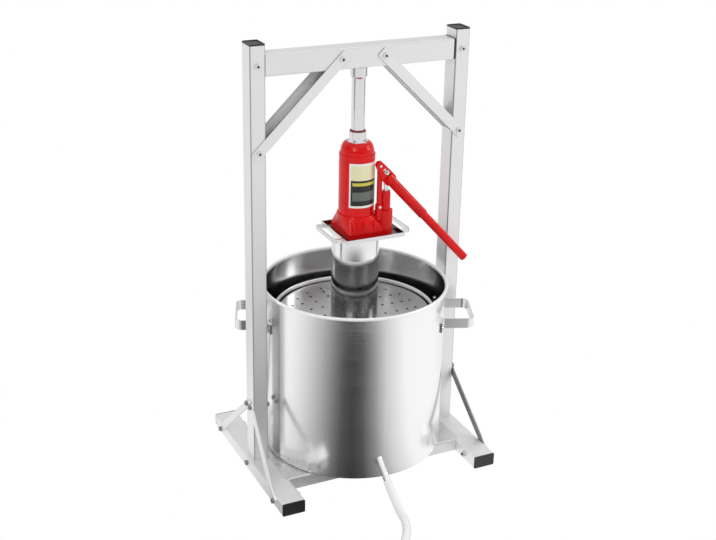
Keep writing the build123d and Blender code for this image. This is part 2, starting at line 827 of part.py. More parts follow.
# Jack base: a square foot that flares up to a round seat, with bosses for pump and valve
base_centre_x = (base_right - base_left) / 2
with BuildPart() as base:
    with BuildSketch(Plane.XY.offset(tray_floor)):
        with Locations((base_centre_x, 0)):
            RectangleRounded(base_left + base_right, 2 * base_half_depth, base_corner)
    extrude(amount=base_skirt)
    with BuildSketch(Plane.XY.offset(tray_floor + base_skirt)):
        with Locations((base_centre_x, 0)):
            RectangleRounded(base_left + base_right, 2 * base_half_depth, base_corner)
    with BuildSketch(Plane.XY.offset(base_top)):
        Circle(base_top_radius)
    loft()
    # Gussets on the front, each from the skirt's edge to the round seat
    for spot in rib_spots:
        seat_y = sqrt(base_top_radius**2 - spot**2) - 0.5
        skirt_top = tray_floor + base_skirt
        with BuildSketch(Plane.YZ.offset(spot - rib_thick / 2)):
            with BuildLine():
                Polyline(
                    (0, tray_floor + 1),
                    (-base_half_depth, tray_floor + 1),
                    (-base_half_depth, skirt_top),
                    (-base_half_depth + rib_lean, skirt_top + rib_knee),
                    (-seat_y, base_top),
                    (0, base_top),
                    close=True,
                )
            make_face()
        extrude(amount=rib_thick)
    # Pump boss
    with BuildSketch(Plane.XY.offset(tray_floor)):
        with Locations((pump_axis.X, pump_axis.Y)):
            Circle(boss_radius)
    extrude(amount=boss_top - tray_floor)
    # Valve boss
    with BuildSketch(Plane.YZ.offset(base_left / 2)):
        with Locations((valve_y, valve_z)):
            Circle(valve_boss_radius)
    extrude(amount=valve_boss_end - base_left / 2)
    # Ears for the link's foot
    ear_origin = Vector(lever_x, lever_y, 0)
    ear_plane = Plane(origin=ear_origin, x_dir=lever_dir, z_dir=-lever_side)
    with BuildSketch(ear_plane.offset(-cheek_gap / 2 - ear_thick)):
        with Locations((0, (link_foot_z + base_top) / 2 - 5)):
            Rectangle(2 * ear_radius, link_foot_z - base_top + 10)
        with Locations((0, link_foot_z)):
            Circle(ear_radius)
    extrude(amount=cheek_gap + 2 * ear_thick)
    with BuildSketch(ear_plane.offset(-cheek_gap / 2)):
        with Locations((0, link_foot_z - link_eye - slide_gap)):
            Rectangle(4 * ear_radius, 4 * ear_radius, align=(Align.CENTER, Align.MIN))
    extrude(amount=cheek_gap, mode=Mode.SUBTRACT)
    with BuildSketch(ear_plane.offset(-cheek_gap)):
        with Locations((0, link_foot_z)):
            Circle(pin_radius + seat_gap)
    extrude(amount=2 * cheek_gap, mode=Mode.SUBTRACT)
    # Bores for the pressure cylinder, the pump barrel and the release valve
    with BuildSketch(Plane.XY.offset(cylinder_bottom)):
        Circle(cylinder_bore + cylinder_wall + seat_gap)
    extrude(amount=base_rise, mode=Mode.SUBTRACT)
    with BuildSketch(Plane.XY.offset(pump_bottom)):
        with Locations((pump_axis.X, pump_axis.Y)):
            Circle(pump_radius + seat_gap)
    extrude(amount=base_rise, mode=Mode.SUBTRACT)
    with BuildSketch(Plane.YZ.offset(valve_boss_end - valve_depth)):
        with Locations((valve_y, valve_z)):
            Circle(valve_radius + run_gap)
    extrude(amount=valve_depth, mode=Mode.SUBTRACT)
save(base.part, "jack_base")

filler_dir = Vector(cos(radians(plug_turn)), sin(radians(plug_turn)), 0)
filler_plane = Plane(
    origin=filler_dir * (reservoir_radius - reservoir_wall - 1) + upright * plug_height, z_dir=filler_dir
)
with BuildPart() as reservoir:
    with BuildSketch(Plane.XY.offset(base_top)):
        Circle(reservoir_radius)
        Circle(reservoir_radius - reservoir_wall, mode=Mode.SUBTRACT)
    extrude(amount=reservoir_top - base_top)
    with BuildSketch(filler_plane):
        Circle(plug_radius + seat_gap)
    extrude(amount=reservoir_wall + 3, mode=Mode.SUBTRACT)
save(reservoir.part, "oil_reservoir")

with BuildPart() as filler:
    with BuildSketch(filler_plane):
        Circle(plug_radius)
    extrude(amount=reservoir_wall + 2)
    with BuildSketch(filler_plane.offset(reservoir_wall + 2)):
        Circle(plug_radius + 2)
    extrude(amount=1.8)
save(filler.part, "filler_plug")

with BuildPart() as cylinder:
    with BuildSketch(Plane.XY.offset(cylinder_bottom)):
        Circle(cylinder_bore + cylinder_wall)
        Circle(cylinder_bore, mode=Mode.SUBTRACT)
    extrude(amount=cylinder_top - cylinder_bottom)
save(cylinder.part, "pressure_cylinder")

# Reservoir cap: a stepped shoulder that closes the reservoir and holds the cylinder down
cap_step = 2.0
with BuildPart() as cap:
    with BuildSketch(Plane.XZ):
        with BuildLine():
            bore = gland_radius + seat_gap
            hold = cylinder_bore + cylinder_wall + seat_gap
            lip = reservoir_radius - reservoir_wall - seat_gap
            edge = reservoir_top + cap_skirt
            Polyline((bore, cap_top), (bore, cylinder_top), (hold, cylinder_top), (hold, reservoir_top - 4))
            Polyline((hold, reservoir_top - 4), (lip, reservoir_top - 4), (lip, reservoir_top))
            Polyline((lip, reservoir_top), (reservoir_radius, reservoir_top), (reservoir_radius, edge))
            Line((reservoir_radius, edge), (reservoir_radius - cap_step, edge))
            across = reservoir_radius - cap_step - cap_neck_radius
            bends = [radians(90 / dome_steps * step) for step in range(dome_steps + 1)]
            dome = [
                (cap_neck_radius + across * cos(bend), edge + (cap_top - edge) * sin(bend)) for bend in bends
            ]
            Polyline(*dome, (bore, cap_top))
        make_face()
    revolve(axis=Axis.Z)
save(cap.part, "reservoir_cap")

with BuildPart() as gland:
    with BuildSketch(Plane.XZ):
        with BuildLine():
            ram_hole = ram_radius + run_gap
            Polyline(
                (ram_hole, cylinder_top + seat_gap),
                (gland_radius, cylinder_top + seat_gap),
                (gland_radius, cap_top),
                (gland_flare, cap_top),
                (gland_flare, cap_top + 1.5),
                (gland_radius, cap_top + 5),
                (gland_radius, gland_top),
                (ram_hole, gland_top),
                close=True,
            )
        make_face()
    revolve(axis=Axis.Z)
save(gland.part, "gland_nut")

with BuildPart() as wiper:
    with BuildSketch(Plane.XZ):
        with BuildLine():
            wiper_hole = ram_radius + run_gap
            Polyline(
                (wiper_hole, gland_top),
                (wiper_radius, gland_top),
                (wiper_radius, gland_top + wiper_height / 2),
                (wiper_hole + 0.6, gland_top + wiper_height),
                (wiper_hole, gland_top + wiper_height),
                close=True,
            )
        make_face()
    revolve(axis=Axis.Z)
save(wiper.part, "ram_wiper")

# Ram, its cup seal, the extension screw in its top and the saddle
with BuildPart() as ram:
    with BuildSketch(Plane.XZ):
        with BuildLine():
            Polyline(
                (0, ram_foot),
                (cylinder_bore - run_gap, ram_foot),
                (cylinder_bore - run_gap, ram_foot + piston_height),
                (ram_radius, ram_foot + piston_height),
                (ram_radius, ram_top),
                (screw_radius + seat_gap, ram_top),
                (screw_radius + seat_gap, ram_top - screw_depth),
                (0, ram_top - screw_depth),
                close=True,
            )
        make_face()
    revolve(axis=Axis.Z)
save(ram.part, "ram")

with BuildPart() as cup:
    with BuildSketch(Plane.XZ):
        with BuildLine():
            Polyline(
                (0, ram_foot),
                (0, ram_foot - cup_height / 3),
                (cylinder_bore - 4, ram_foot - cup_height / 3),
                (cylinder_bore - 2, ram_foot - cup_height + 0.5),
                (cylinder_bore - run_gap, ram_foot - cup_height + 0.5),
                (cylinder_bore - run_gap, ram_foot),
                close=True,
            )
        make_face()
    revolve(axis=Axis.Z)
save(cup.part, "piston_cup")

neck_height = 5.0
with BuildPart() as screw:
    with BuildSketch(Plane.XY.offset(ram_top - screw_depth)):
        Circle(screw_radius)
    extrude(amount=screw_depth + neck_height)
save(screw.part, "extension_screw")

with BuildPart() as saddle:
    with BuildSketch(Plane.XZ):
        with BuildLine():
            Polyline(
                (0, ram_top + neck_height),
                (screw_radius + seat_gap, ram_top + neck_height),
                (screw_radius + seat_gap, ram_top),
                (saddle_radius - 3, ram_top),
                (saddle_radius, ram_top + 4),
                (saddle_radius, saddle_top - 1),
                (saddle_radius - 1, saddle_top),
                (0, saddle_top),
                close=True,
            )
        make_face()
    revolve(axis=Axis.Z)
    # Cross grooves in the bearing face
    with BuildSketch(Plane.XY.offset(saddle_top - 1.2)):
        Rectangle(2.5 * saddle_radius, 2.4)
        Rectangle(2.4, 2.5 * saddle_radius)
    extrude(amount=2, mode=Mode.SUBTRACT)
save(saddle.part, "saddle")

# Pump: barrel, gland, piston with an eye for its pin
with BuildPart() as barrel:
    with BuildSketch(Plane.XY.offset(pump_bottom)):
        with Locations((pump_axis.X, pump_axis.Y)):
            Circle(pump_radius)
    extrude(amount=pump_top - pump_bottom)
    with BuildSketch(Plane.XY.offset(piston_floor)):
        with Locations((pump_axis.X, pump_axis.Y)):
            Circle(piston_radius + run_gap)
    extrude(amount=pump_top - piston_floor, mode=Mode.SUBTRACT)
save(barrel.part, "pump_barrel")

with BuildPart() as pump_gland:
    with BuildSketch(Plane.XY.offset(pump_top)):
        with Locations((pump_axis.X, pump_axis.Y)):
            RegularPolygon(pump_radius - 0.8, 6, major_radius=False)
            Circle(piston_radius + run_gap, mode=Mode.SUBTRACT)
    extrude(amount=pump_gland_height)
save(pump_gland.part, "pump_gland")

eye_radius = 5.4
eye_plane = Plane(origin=(pump_axis.X, pump_axis.Y, pin_z), x_dir=lever_dir, z_dir=-lever_side)
eye_half = cheek_gap / 2 - slide_gap
with BuildPart() as pump_piston:
    with BuildSketch(Plane.XY.offset(piston_foot)):
        with Locations((pump_axis.X, pump_axis.Y)):
            Circle(piston_radius)
    extrude(amount=blade_start - piston_foot)
    with BuildSketch(eye_plane):
        Circle(eye_radius)
        with Locations((0, (blade_start - pin_z) / 2)):
            Rectangle(2 * blade_half, pin_z - blade_start)
    extrude(amount=eye_half, both=True)
    with BuildSketch(eye_plane):
        Circle(pin_radius + seat_gap)
    extrude(amount=2 * eye_half, both=True, mode=Mode.SUBTRACT)
save(pump_piston.part, "pump_piston")

pin_half = cheek_gap / 2 + cheek_thick + 0.8
with BuildPart() as piston_pin:
    with BuildSketch(eye_plane):
        Circle(pin_radius)
    extrude(amount=pin_half, both=True)
save(piston_pin.part, "piston_pin")

# Link: carries the lever's pivot on the ears of the base
link_plane = Plane(origin=(lever_x, lever_y, 0), x_dir=lever_dir, z_dir=-lever_side)
with BuildPart() as link:
    with BuildSketch(link_plane):
        with Locations((0, (link_foot_z + lever_z) / 2)):
            Rectangle(2 * link_half, lever_z - link_foot_z)
        with Locations((0, link_foot_z), (0, lever_z)):
            Circle(link_eye)
        with Locations((0, link_foot_z), (0, lever_z)):
            Circle(pin_radius + seat_gap, mode=Mode.SUBTRACT)
    extrude(amount=cheek_gap / 2 - slide_gap, both=True)
save(link.part, "pump_link")

with BuildPart() as link_pins:
    with BuildSketch(link_plane):
        with Locations((0, link_foot_z), (0, lever_z)):
            Circle(pin_radius)
    extrude(amount=pin_half, both=True)
save(link_pins.part, "link_pins")

# Handle socket: cheeks on both sides of the link and the piston's eye, then a round mouth
slot_near = lever_arm - 0.5
slot_far = hypot(lever_arm, lever_z - pin_z) + 3
slot_half = pin_radius + pin_slack
with BuildPart() as socket:
    with BuildSketch(lever_plane):
        top_y = socket_radius - tube_drop
        low_y = -socket_radius - tube_drop
        with BuildLine():
            Polyline((0, cheek_nose), (socket_start, top_y), (socket_mouth - 4, top_y))
            Polyline((socket_mouth - 4, top_y), (socket_mouth - 4, low_y), (socket_start, low_y))
            Polyline((socket_start, low_y), (-2, -cheek_nose + 0.3), (-2, cheek_nose - 0.3), (0, cheek_nose))
        make_face()
        Circle(cheek_nose)
    extrude(amount=cheek_gap / 2 + cheek_thick, both=True)
    with BuildSketch(tube_plane(socket_start + 1)):
        Circle(socket_radius)
    extrude(amount=socket_mouth - socket_start - 1)
    # Room between the cheeks for the link and the piston, and a slot below the mouth for the piston
    with BuildSketch(lever_plane):
        with Locations((socket_start / 2 - 10, 0)):
            Rectangle(socket_start + 24, 6 * socket_radius)
        with Locations((socket_mouth / 2, notch_top - 2 * socket_radius)):
            Rectangle(socket_mouth + 2, 4 * socket_radius)
    extrude(amount=cheek_gap / 2, both=True, mode=Mode.SUBTRACT)
    with BuildSketch(lever_plane):
        Circle(pin_radius + run_gap)
        with Locations(((slot_near + slot_far) / 2, 0)):
            SlotCenterToCenter(slot_far - slot_near, 2 * slot_half)
    extrude(amount=3 * cheek_gap, both=True, mode=Mode.SUBTRACT)
    with BuildSketch(tube_plane(handle_start)):
        Circle(handle_radius + seat_gap)
    extrude(amount=socket_mouth, mode=Mode.SUBTRACT)
save(socket.part, "handle_socket")

with BuildPart() as handle_tube:
    with BuildSketch(tube_plane(handle_start)):
        Circle(handle_radius)
        Circle(handle_radius - handle_wall, mode=Mode.SUBTRACT)
    extrude(amount=handle_join - handle_start)
    with BuildSketch(lever_plane):
        with Locations((notch_end / 2, -tube_drop - handle_radius)):
            Rectangle(notch_end, 2 * handle_radius)
    extrude(amount=cheek_gap / 2, both=True, mode=Mode.SUBTRACT)
save(handle_tube.part, "handle_tube")

with BuildPart() as extension:
    with BuildSketch(tube_plane(extension_start)):
        Circle(extension_radius)
        Circle(extension_radius - extension_wall, mode=Mode.SUBTRACT)
    extrude(amount=handle_tip - extension_start)
save(extension.part, "handle_extension")

# Release valve: a needle screw with a slotted head
with BuildPart() as valve:
    with BuildSketch(Plane.YZ.offset(valve_boss_end - valve_depth + 1)):
        with Locations((valve_y, valve_z)):
            Circle(valve_radius)
    extrude(amount=valve_depth - 1 + valve_reach)
    with BuildSketch(Plane.YZ.offset(valve_boss_end + valve_reach - 2.5)):
        with Locations((valve_y, valve_z)):
            Rectangle(2, 3 * valve_radius)
    extrude(amount=3, mode=Mode.SUBTRACT)
save(valve.part, "release_valve")
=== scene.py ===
"""Looks for the hydraulic fruit press: finishes for every surface, the drain hose and the jack's label.

Metres, +Z up, the operator stands at -Y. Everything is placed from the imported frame.
"""

from math import atan2, cos, degrees, pi, radians, sin

import bpy
from mathutils import Matrix, Vector


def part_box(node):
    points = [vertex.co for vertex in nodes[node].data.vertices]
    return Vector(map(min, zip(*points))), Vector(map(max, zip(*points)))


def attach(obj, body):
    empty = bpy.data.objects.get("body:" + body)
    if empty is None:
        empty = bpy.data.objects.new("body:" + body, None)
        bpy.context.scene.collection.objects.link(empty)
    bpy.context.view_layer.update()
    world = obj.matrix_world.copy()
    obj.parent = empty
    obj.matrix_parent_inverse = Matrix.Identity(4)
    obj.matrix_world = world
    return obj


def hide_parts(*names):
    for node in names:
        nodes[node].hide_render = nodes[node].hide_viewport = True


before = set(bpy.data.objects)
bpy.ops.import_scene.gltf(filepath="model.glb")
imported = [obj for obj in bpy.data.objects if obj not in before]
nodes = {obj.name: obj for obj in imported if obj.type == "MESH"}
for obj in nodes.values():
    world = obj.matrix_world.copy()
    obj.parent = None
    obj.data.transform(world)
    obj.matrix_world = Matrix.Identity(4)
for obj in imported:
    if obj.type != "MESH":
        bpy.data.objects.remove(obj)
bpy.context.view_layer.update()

# Camera: the photograph's view of the press
IMAGE_WIDTH = 716
CAMERA_AZIMUTH = 26.07
CAMERA_ELEVATION = 21.15
CAMERA_ROLL = 1.22
CAMERA_DISTANCE = 2.479
CAMERA_FOCAL = 1231
CAMERA_SHIFT = -0.0503
AIM_HEIGHT = 0.3
AIM_RIGHT = 0.0081
AIM_UP = 0.1614

az, el, roll = radians(CAMERA_AZIMUTH), radians(CAMERA_ELEVATION), radians(CAMERA_ROLL)
back = Vector((-sin(az) * cos(el), -cos(az) * cos(el), sin(el)))
level = (-back).cross(Vector((0, 0, 1))).normalized()
above = level.cross(-back)
right = level * cos(roll) + above * sin(roll)
up = above * cos(roll) - level * sin(roll)
eye = Vector((0, 0, AIM_HEIGHT)) + right * AIM_RIGHT + up * AIM_UP + back * CAMERA_DISTANCE
lens = bpy.data.cameras.new("camera")
lens.sensor_width = 36
lens.lens = CAMERA_FOCAL / IMAGE_WIDTH * lens.sensor_width
lens.shift_y = CAMERA_SHIFT
camera = bpy.data.objects.new("camera", lens)
camera.matrix_world = Matrix.Translation(eye) @ Matrix((right, up, back)).transposed().to_4x4()
bpy.context.scene.collection.objects.link(camera)
bpy.context.scene.camera = camera
bpy.context.scene.view_settings.view_transform = "Standard"


def linked(name, data):
    """A new object with this data, in the scene."""
    piece = bpy.data.objects.new(name, data)
    bpy.context.scene.collection.objects.link(piece)
    return piece


# Drain hose: the route of the solid, its first two points in line with the spout
HOSE_DIAMETER = 0.016
HOSE_REST = 0.0082
SPOUT_TURN, SPOUT_HEADING, SPOUT_DROP = radians(-98), radians(-91), radians(35)
SPOUT_RADIUS, SPOUT_HEIGHT, SPOUT_LENGTH = 0.1812, 0.068, 0.04505
spout_dir = Vector((cos(SPOUT_HEADING) * cos(SPOUT_DROP), sin(SPOUT_HEADING) * cos(SPOUT_DROP), -sin(SPOUT_DROP)))
spout_root = Vector((cos(SPOUT_TURN) * SPOUT_RADIUS, sin(SPOUT_TURN) * SPOUT_RADIUS, SPOUT_HEIGHT))
hose_start = spout_root + spout_dir * SPOUT_LENGTH
hose_touch = hose_start + spout_dir * ((hose_start.z - HOSE_REST) / sin(SPOUT_DROP))
hose_route = [
    hose_start,
    hose_touch,
    Vector((-0.032, -0.312, HOSE_REST)),
    Vector((-0.060, -0.362, HOSE_REST)),
    Vector((-0.104, -0.402, HOSE_REST)),
    Vector((-0.161, -0.420, HOSE_REST)),
    Vector((-0.221, -0.420, HOSE_REST)),
    Vector((-0.280, -0.408, HOSE_REST)),
]
hose_curve = bpy.data.curves.new("drain_hose_line", "CURVE")
hose_curve.dimensions = "3D"
hose_curve.bevel_depth = 1.0
hose_curve.bevel_resolution = 8
hose_curve.resolution_u = 16
hose_curve.use_fill_caps = True
spline = hose_curve.splines.new("NURBS")
spline.points.add(len(hose_route) - 1)
for point, place in zip(spline.points, hose_route):
    point.co = (*place, 1)
    point.radius = HOSE_DIAMETER / 2
spline.order_u = 3
spline.use_endpoint_u = True
hose = linked("hose", hose_curve)
hose.visible_glossy = False
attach(hose, "frame")
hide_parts("drain_hose")


# Studio: soft light all round, darker where the operator stands, so that polished steel has form
STUDIO_RING = (
    (0, 0.03), (10, 0.06), (22, 0.24), (38, 0.66), (60, 0.98), (92, 1.0), (112, 0.98), (124, 0.92),
    (150, 0.86), (180, 0.80), (210, 0.74), (234, 0.80), (239, 0.18), (246, 0.90), (268, 1.0), (288, 0.92),
    (306, 0.72), (324, 0.44), (340, 0.18), (350, 0.06), (360, 0.03),
)
SKY_RING = ((0, 0.06), (70, 0.10), (100, 0.45), (140, 0.62), (220, 0.62), (260, 0.45), (290, 0.10), (360, 0.06))
front = degrees(atan2(back.y, back.x))


def math_node(tree, operation, *values):
    """A Math node with these inputs, each a socket or a number."""
    node = tree.nodes.new("ShaderNodeMath")
    node.operation = operation
    for socket, value in zip(node.inputs, values):
        if isinstance(value, (int, float)):
            socket.default_value = value
        else:
            tree.links.new(value, socket)
    return node.outputs[0]


def ramp_node(tree, factor, stops, smooth=False):
    """A colour ramp over the factor; each stop is a place and a grey or a colour."""
    node = tree.nodes.new("ShaderNodeValToRGB")
    ramp = node.color_ramp
    ramp.interpolation = "EASE" if smooth else "LINEAR"
    while len(ramp.elements) < len(stops):
        ramp.elements.new(0.5)
    for element, (place, value) in zip(ramp.elements, stops):
        element.position = place
        element.color = (value, value, value, 1) if isinstance(value, (int, float)) else (*value, 1)
    tree.links.new(factor, node.inputs[0])
    return node.outputs[0]


def studio_ring(tree, direction, stops=STUDIO_RING):
    """The studio's brightness towards a direction, by its bearing from the operator's side."""
    parts = tree.nodes.new("ShaderNodeSeparateXYZ")
    tree.links.new(direction, parts.inputs[0])
    bearing = math_node(tree, "ARCTAN2", parts.outputs[1], parts.outputs[0])
    turned = math_node(tree, "SUBTRACT", bearing, radians(front))
    share = math_node(tree, "DIVIDE", turned, 2 * pi)
    wrapped = math_node(tree, "FRACT", math_node(tree, "ADD", share, 1.0))
    return ramp_node(tree, wrapped, [(angle / 360, grey) for angle, grey in stops])


world = bpy.data.worlds.new("studio")
bpy.context.scene.world = world
world.use_nodes = True
tree = world.node_tree
tree.nodes.clear()
coords = tree.nodes.new("ShaderNodeTexCoord")
light_path = tree.nodes.new("ShaderNodeLightPath")
ring = studio_ring(tree, coords.outputs["Generated"])
height = tree.nodes.new("ShaderNodeSeparateXYZ")
tree.links.new(coords.outputs["Generated"], height.inputs[0])
overhead = ramp_node(tree, math_node(tree, "ADD", math_node(tree, "MULTIPLY", height.outputs[2], 0.5), 0.5),
                     [(0.5, 0.0), (0.66, 0.15), (0.85, 1.0)])
front_sky = studio_ring(tree, coords.outputs["Generated"], SKY_RING)
raised = ramp_node(tree, math_node(tree, "ADD", math_node(tree, "MULTIPLY", height.outputs[2], 0.5), 0.5),
                   [(0.5, 0.0), (0.54, 1.0)])
walls = tree.nodes.new("ShaderNodeMix")
walls.data_type = "RGBA"
tree.links.new(raised, walls.inputs[0])
tree.links.new(ring, walls.inputs[6])
tree.links.new(front_sky, walls.inputs[7])
sky = tree.nodes.new("ShaderNodeMix")
sky.data_type = "RGBA"
tree.links.new(overhead, sky.inputs[0])
tree.links.new(walls.outputs[2], sky.inputs[6])
sky.inputs[7].default_value = (0.9, 0.9, 0.9, 1)
seen = tree.nodes.new("ShaderNodeBackground")
seen.inputs[0].default_value = (1, 1, 1, 1)
unseen = tree.nodes.new("ShaderNodeBackground")
tree.links.new(sky.outputs[2], unseen.inputs[0])
choose = tree.nodes.new("ShaderNodeMixShader")
straight = math_node(tree, "MAXIMUM", light_path.outputs["Is Camera Ray"], light_path.outputs["Is Transmission Ray"])
tree.links.new(straight, choose.inputs[0])
tree.links.new(unseen.outputs[0], choose.inputs[1])
tree.links.new(seen.outputs[0], choose.inputs[2])
output = tree.nodes.new("ShaderNodeOutputWorld")
tree.links.new(choose.outputs[0], output.inputs[0])

FLOOR_SIZE = 12.0
GLOW_NEAR, GLOW_FAR = 1.10, 1.22
floor_mesh = bpy.data.meshes.new("floor")
half = FLOOR_SIZE / 2
floor_mesh.from_pydata([(-half, -half, 0), (half, -half, 0), (half, half, 0), (-half, half, 0)], [], [(0, 1, 2, 3)])
floor = linked("floor", floor_mesh)
floor.location.z = -0.0005
paper = bpy.data.materials.new("studio_paper")
paper.use_nodes = True
tree = paper.node_tree
tree.nodes.clear()
place = tree.nodes.new("ShaderNodeNewGeometry")
light_path = tree.nodes.new("ShaderNodeLightPath")
ring = studio_ring(tree, place.outputs["Position"])
distance = tree.nodes.new("ShaderNodeVectorMath")
distance.operation = "LENGTH"
tree.links.new(place.outputs["Position"], distance.inputs[0])
far = tree.nodes.new("ShaderNodeMapRange")
far.inputs["From Min"].default_value = GLOW_NEAR
far.inputs["From Max"].default_value = GLOW_FAR
tree.links.new(distance.outputs["Value"], far.inputs["Value"])
tone = tree.nodes.new("ShaderNodeMix")
tone.data_type = "RGBA"
tree.links.new(far.outputs[0], tone.inputs[0])
tree.links.new(ring, tone.inputs[6])
tone.inputs[7].default_value = (0.88, 0.88, 0.88, 1)
bright = tree.nodes.new("ShaderNodeEmission")
bright.inputs[0].default_value = (1, 1, 1, 1)
dimmed = tree.nodes.new("ShaderNodeEmission")
tree.links.new(tone.outputs[2], dimmed.inputs[0])
choose = tree.nodes.new("ShaderNodeMixShader")
tree.links.new(light_path.outputs["Is Glossy Ray"], choose.inputs[0])
tree.links.new(bright.outputs[0], choose.inputs[1])
tree.links.new(dimmed.outputs[0], choose.inputs[2])
output = tree.nodes.new("ShaderNodeOutputMaterial")
tree.links.new(choose.outputs[0], output.inputs[0])
floor_mesh.materials.append(paper)


def soft_box(name, place, target, size, power):
    """A square area light that faces its target."""
    data = bpy.data.lights.new(name, "AREA")
    data.shape = "SQUARE"
    data.size = size
    data.energy = power
    lamp = linked(name, data)
    lamp.location = place
    lamp.rotation_euler = (Vector(target) - Vector(place)).to_track_quat("-Z", "Y").to_euler()
    return lamp


soft_box("key_light", (-1.6, -1.5, 1.9), (0, 0, 0.5), 0.9, 16)
soft_box("fill_light", (1.9, -0.9, 1.4), (0, 0, 0.5), 0.8, 14)


# Materials
def surface(name):
    """A new material: its node tree, its shader and its object coordinates."""
    material = bpy.data.materials.new(name)
    material.use_nodes = True
    tree = material.node_tree
    shader = tree.nodes["Principled BSDF"]
    coords = tree.nodes.new("ShaderNodeTexCoord").outputs["Object"]
    return material, tree, shader, coords


def scaled(tree, vector, scale, turn=0.0):
    """The vector turned about Y and stretched, so that noise runs as a grain."""
    turned = tree.nodes.new("ShaderNodeVectorRotate")
    turned.rotation_type = "Y_AXIS"
    turned.inputs["Angle"].default_value = turn
    tree.links.new(vector, turned.inputs["Vector"])
    node = tree.nodes.new("ShaderNodeVectorMath")
    node.operation = "MULTIPLY"
    tree.links.new(turned.outputs[0], node.inputs[0])
    node.inputs[1].default_value = scale
    return node.outputs[0]


def noise(tree, vector, scale=1.0, detail=2.0):
    """Seedless noise over the vector, from 0 to 1."""
    node = tree.nodes.new("ShaderNodeTexNoise")
    node.inputs["Scale"].default_value = scale
    node.inputs["Detail"].default_value = detail
    tree.links.new(vector, node.inputs["Vector"])
    return node.outputs[0]


def spread(tree, factor, low, high, start=0.3, end=0.7):
    """The factor from start to end mapped to a range."""
    node = tree.nodes.new("ShaderNodeMapRange")
    node.inputs["From Min"].default_value = start
    node.inputs["From Max"].default_value = end
    node.inputs["To Min"].default_value = low
    node.inputs["To Max"].default_value = high
    tree.links.new(factor, node.inputs["Value"])
    return node.outputs[0]


def tint(tree, factor, dark, light, start=0.3, end=0.7):
    """A colour between dark and light, by the factor."""
    return ramp_node(tree, factor, [(start, dark), (end, light)])


def bump(tree, shader, height, depth, strength=1.0):
    """Relief of this depth in metres on the shader's normal."""
    node = tree.nodes.new("ShaderNodeBump")
    node.inputs["Strength"].default_value = strength
    node.inputs["Distance"].default_value = depth
    tree.links.new(height, node.inputs["Height"])
    tree.links.new(node.outputs[0], shader.inputs["Normal"])


def around(tree, coords, fineness, sweep):
    """Coordinates in which noise makes rings: fine across, slow round the Z axis."""
    parts = tree.nodes.new("ShaderNodeSeparateXYZ")
    tree.links.new(coords, parts.inputs[0])
    x, y, z = parts.outputs
    radius = math_node(tree, "SQRT", math_node(tree, "ADD", math_node(tree, "MULTIPLY", x, x),
                                               math_node(tree, "MULTIPLY", y, y)))
    angle = math_node(tree, "ARCTAN2", y, x)
    joined = tree.nodes.new("ShaderNodeCombineXYZ")
    tree.links.new(math_node(tree, "MULTIPLY", radius, fineness), joined.inputs[0])
    tree.links.new(math_node(tree, "MULTIPLY", math_node(tree, "COSINE", angle), sweep), joined.inputs[1])
    tree.links.new(math_node(tree, "MULTIPLY", z, fineness), joined.inputs[2])
    return joined.outputs[0]


def steel(name, colour, rough, grain=None, turn=0.0, depth=0.00002, contrast=0.05, rings=None, metal=1.0):
    """Bare steel: a grain along one way or rings round the axis, and faint handling marks."""
    material, tree, shader, coords = surface(name)
    lines = noise(tree, around(tree, coords, *rings) if rings else scaled(tree, coords, grain, turn), 1.0, 3.0)
    smudge = noise(tree, coords, 9.0, 4.0)
    dark = tuple(c * (1 - contrast) for c in colour)
    light = tuple(min(1, c * (1 + contrast)) for c in colour)
    tree.links.new(tint(tree, lines, dark, light), shader.inputs["Base Color"])
    shader.inputs["Metallic"].default_value = metal
    worn = math_node(tree, "ADD", spread(tree, lines, -0.03, 0.05), spread(tree, smudge, rough - 0.03, rough + 0.05))
    tree.links.new(worn, shader.inputs["Roughness"])
    bump(tree, shader, lines, depth)
    return material


FINE = 900.0
LONG = 9.0
SATIN = 0.6
post_steel = steel("post_steel", (0.84, 0.84, 0.84), 0.36, (FINE, FINE, LONG), contrast=0.015, metal=SATIN)
foot_steel = steel("foot_steel", (0.84, 0.84, 0.84), 0.36, (FINE, LONG, FINE), contrast=0.015, metal=SATIN)
beam_steel = steel("beam_steel", (0.84, 0.84, 0.84), 0.36, (LONG, FINE, FINE), contrast=0.015, metal=SATIN)
platform_steel = steel("platform_steel", (0.70, 0.70, 0.70), 0.28, (LONG, FINE, FINE), depth=0.000004, contrast=0.015, metal=SATIN)
BRACE_LEAN = radians(44.5)
rising_steel = steel("rising_steel", (0.86, 0.86, 0.86), 0.36, (LONG, FINE, FINE), BRACE_LEAN, contrast=0.015, metal=SATIN)
falling_steel = steel("falling_steel", (0.86, 0.86, 0.86), 0.36, (LONG, FINE, FINE), -BRACE_LEAN, contrast=0.015, metal=SATIN)
stay_steel = steel("stay_steel", (0.82, 0.82, 0.82), 0.32, (FINE, 60.0, 60.0), contrast=0.015, metal=SATIN)
# Painted shade: the right stays get a dark copy of the stays' steel
painted_shade_stay_steel = steel("painted_shade_stay_steel", (0.24, 0.24, 0.24), 0.32, (FINE, 60.0, 60.0), contrast=0.015, metal=SATIN)
nut_steel = steel("nut_steel", (0.60, 0.60, 0.60), 0.32, (300.0, 300.0, 300.0), contrast=0.1)
pot_steel = steel("pot_steel", (0.93, 0.93, 0.93), 0.18, rings=(700.0, 1.5), depth=0.000004, contrast=0.01)
basket_steel = steel("basket_steel", (0.78, 0.78, 0.78), 0.24, rings=(500.0, 1.5))
plate_steel = steel("plate_steel", (0.56, 0.56, 0.56), 0.30, rings=(500.0, 1.5), depth=0.000004, contrast=0.02)
column_steel = steel("column_steel", (0.90, 0.90, 0.90), 0.07, rings=(400.0, 1.0), depth=0.000003, contrast=0.01)
tray_steel = steel("tray_steel", (0.80, 0.80, 0.80), 0.14, (LONG, FINE, FINE), contrast=0.03)
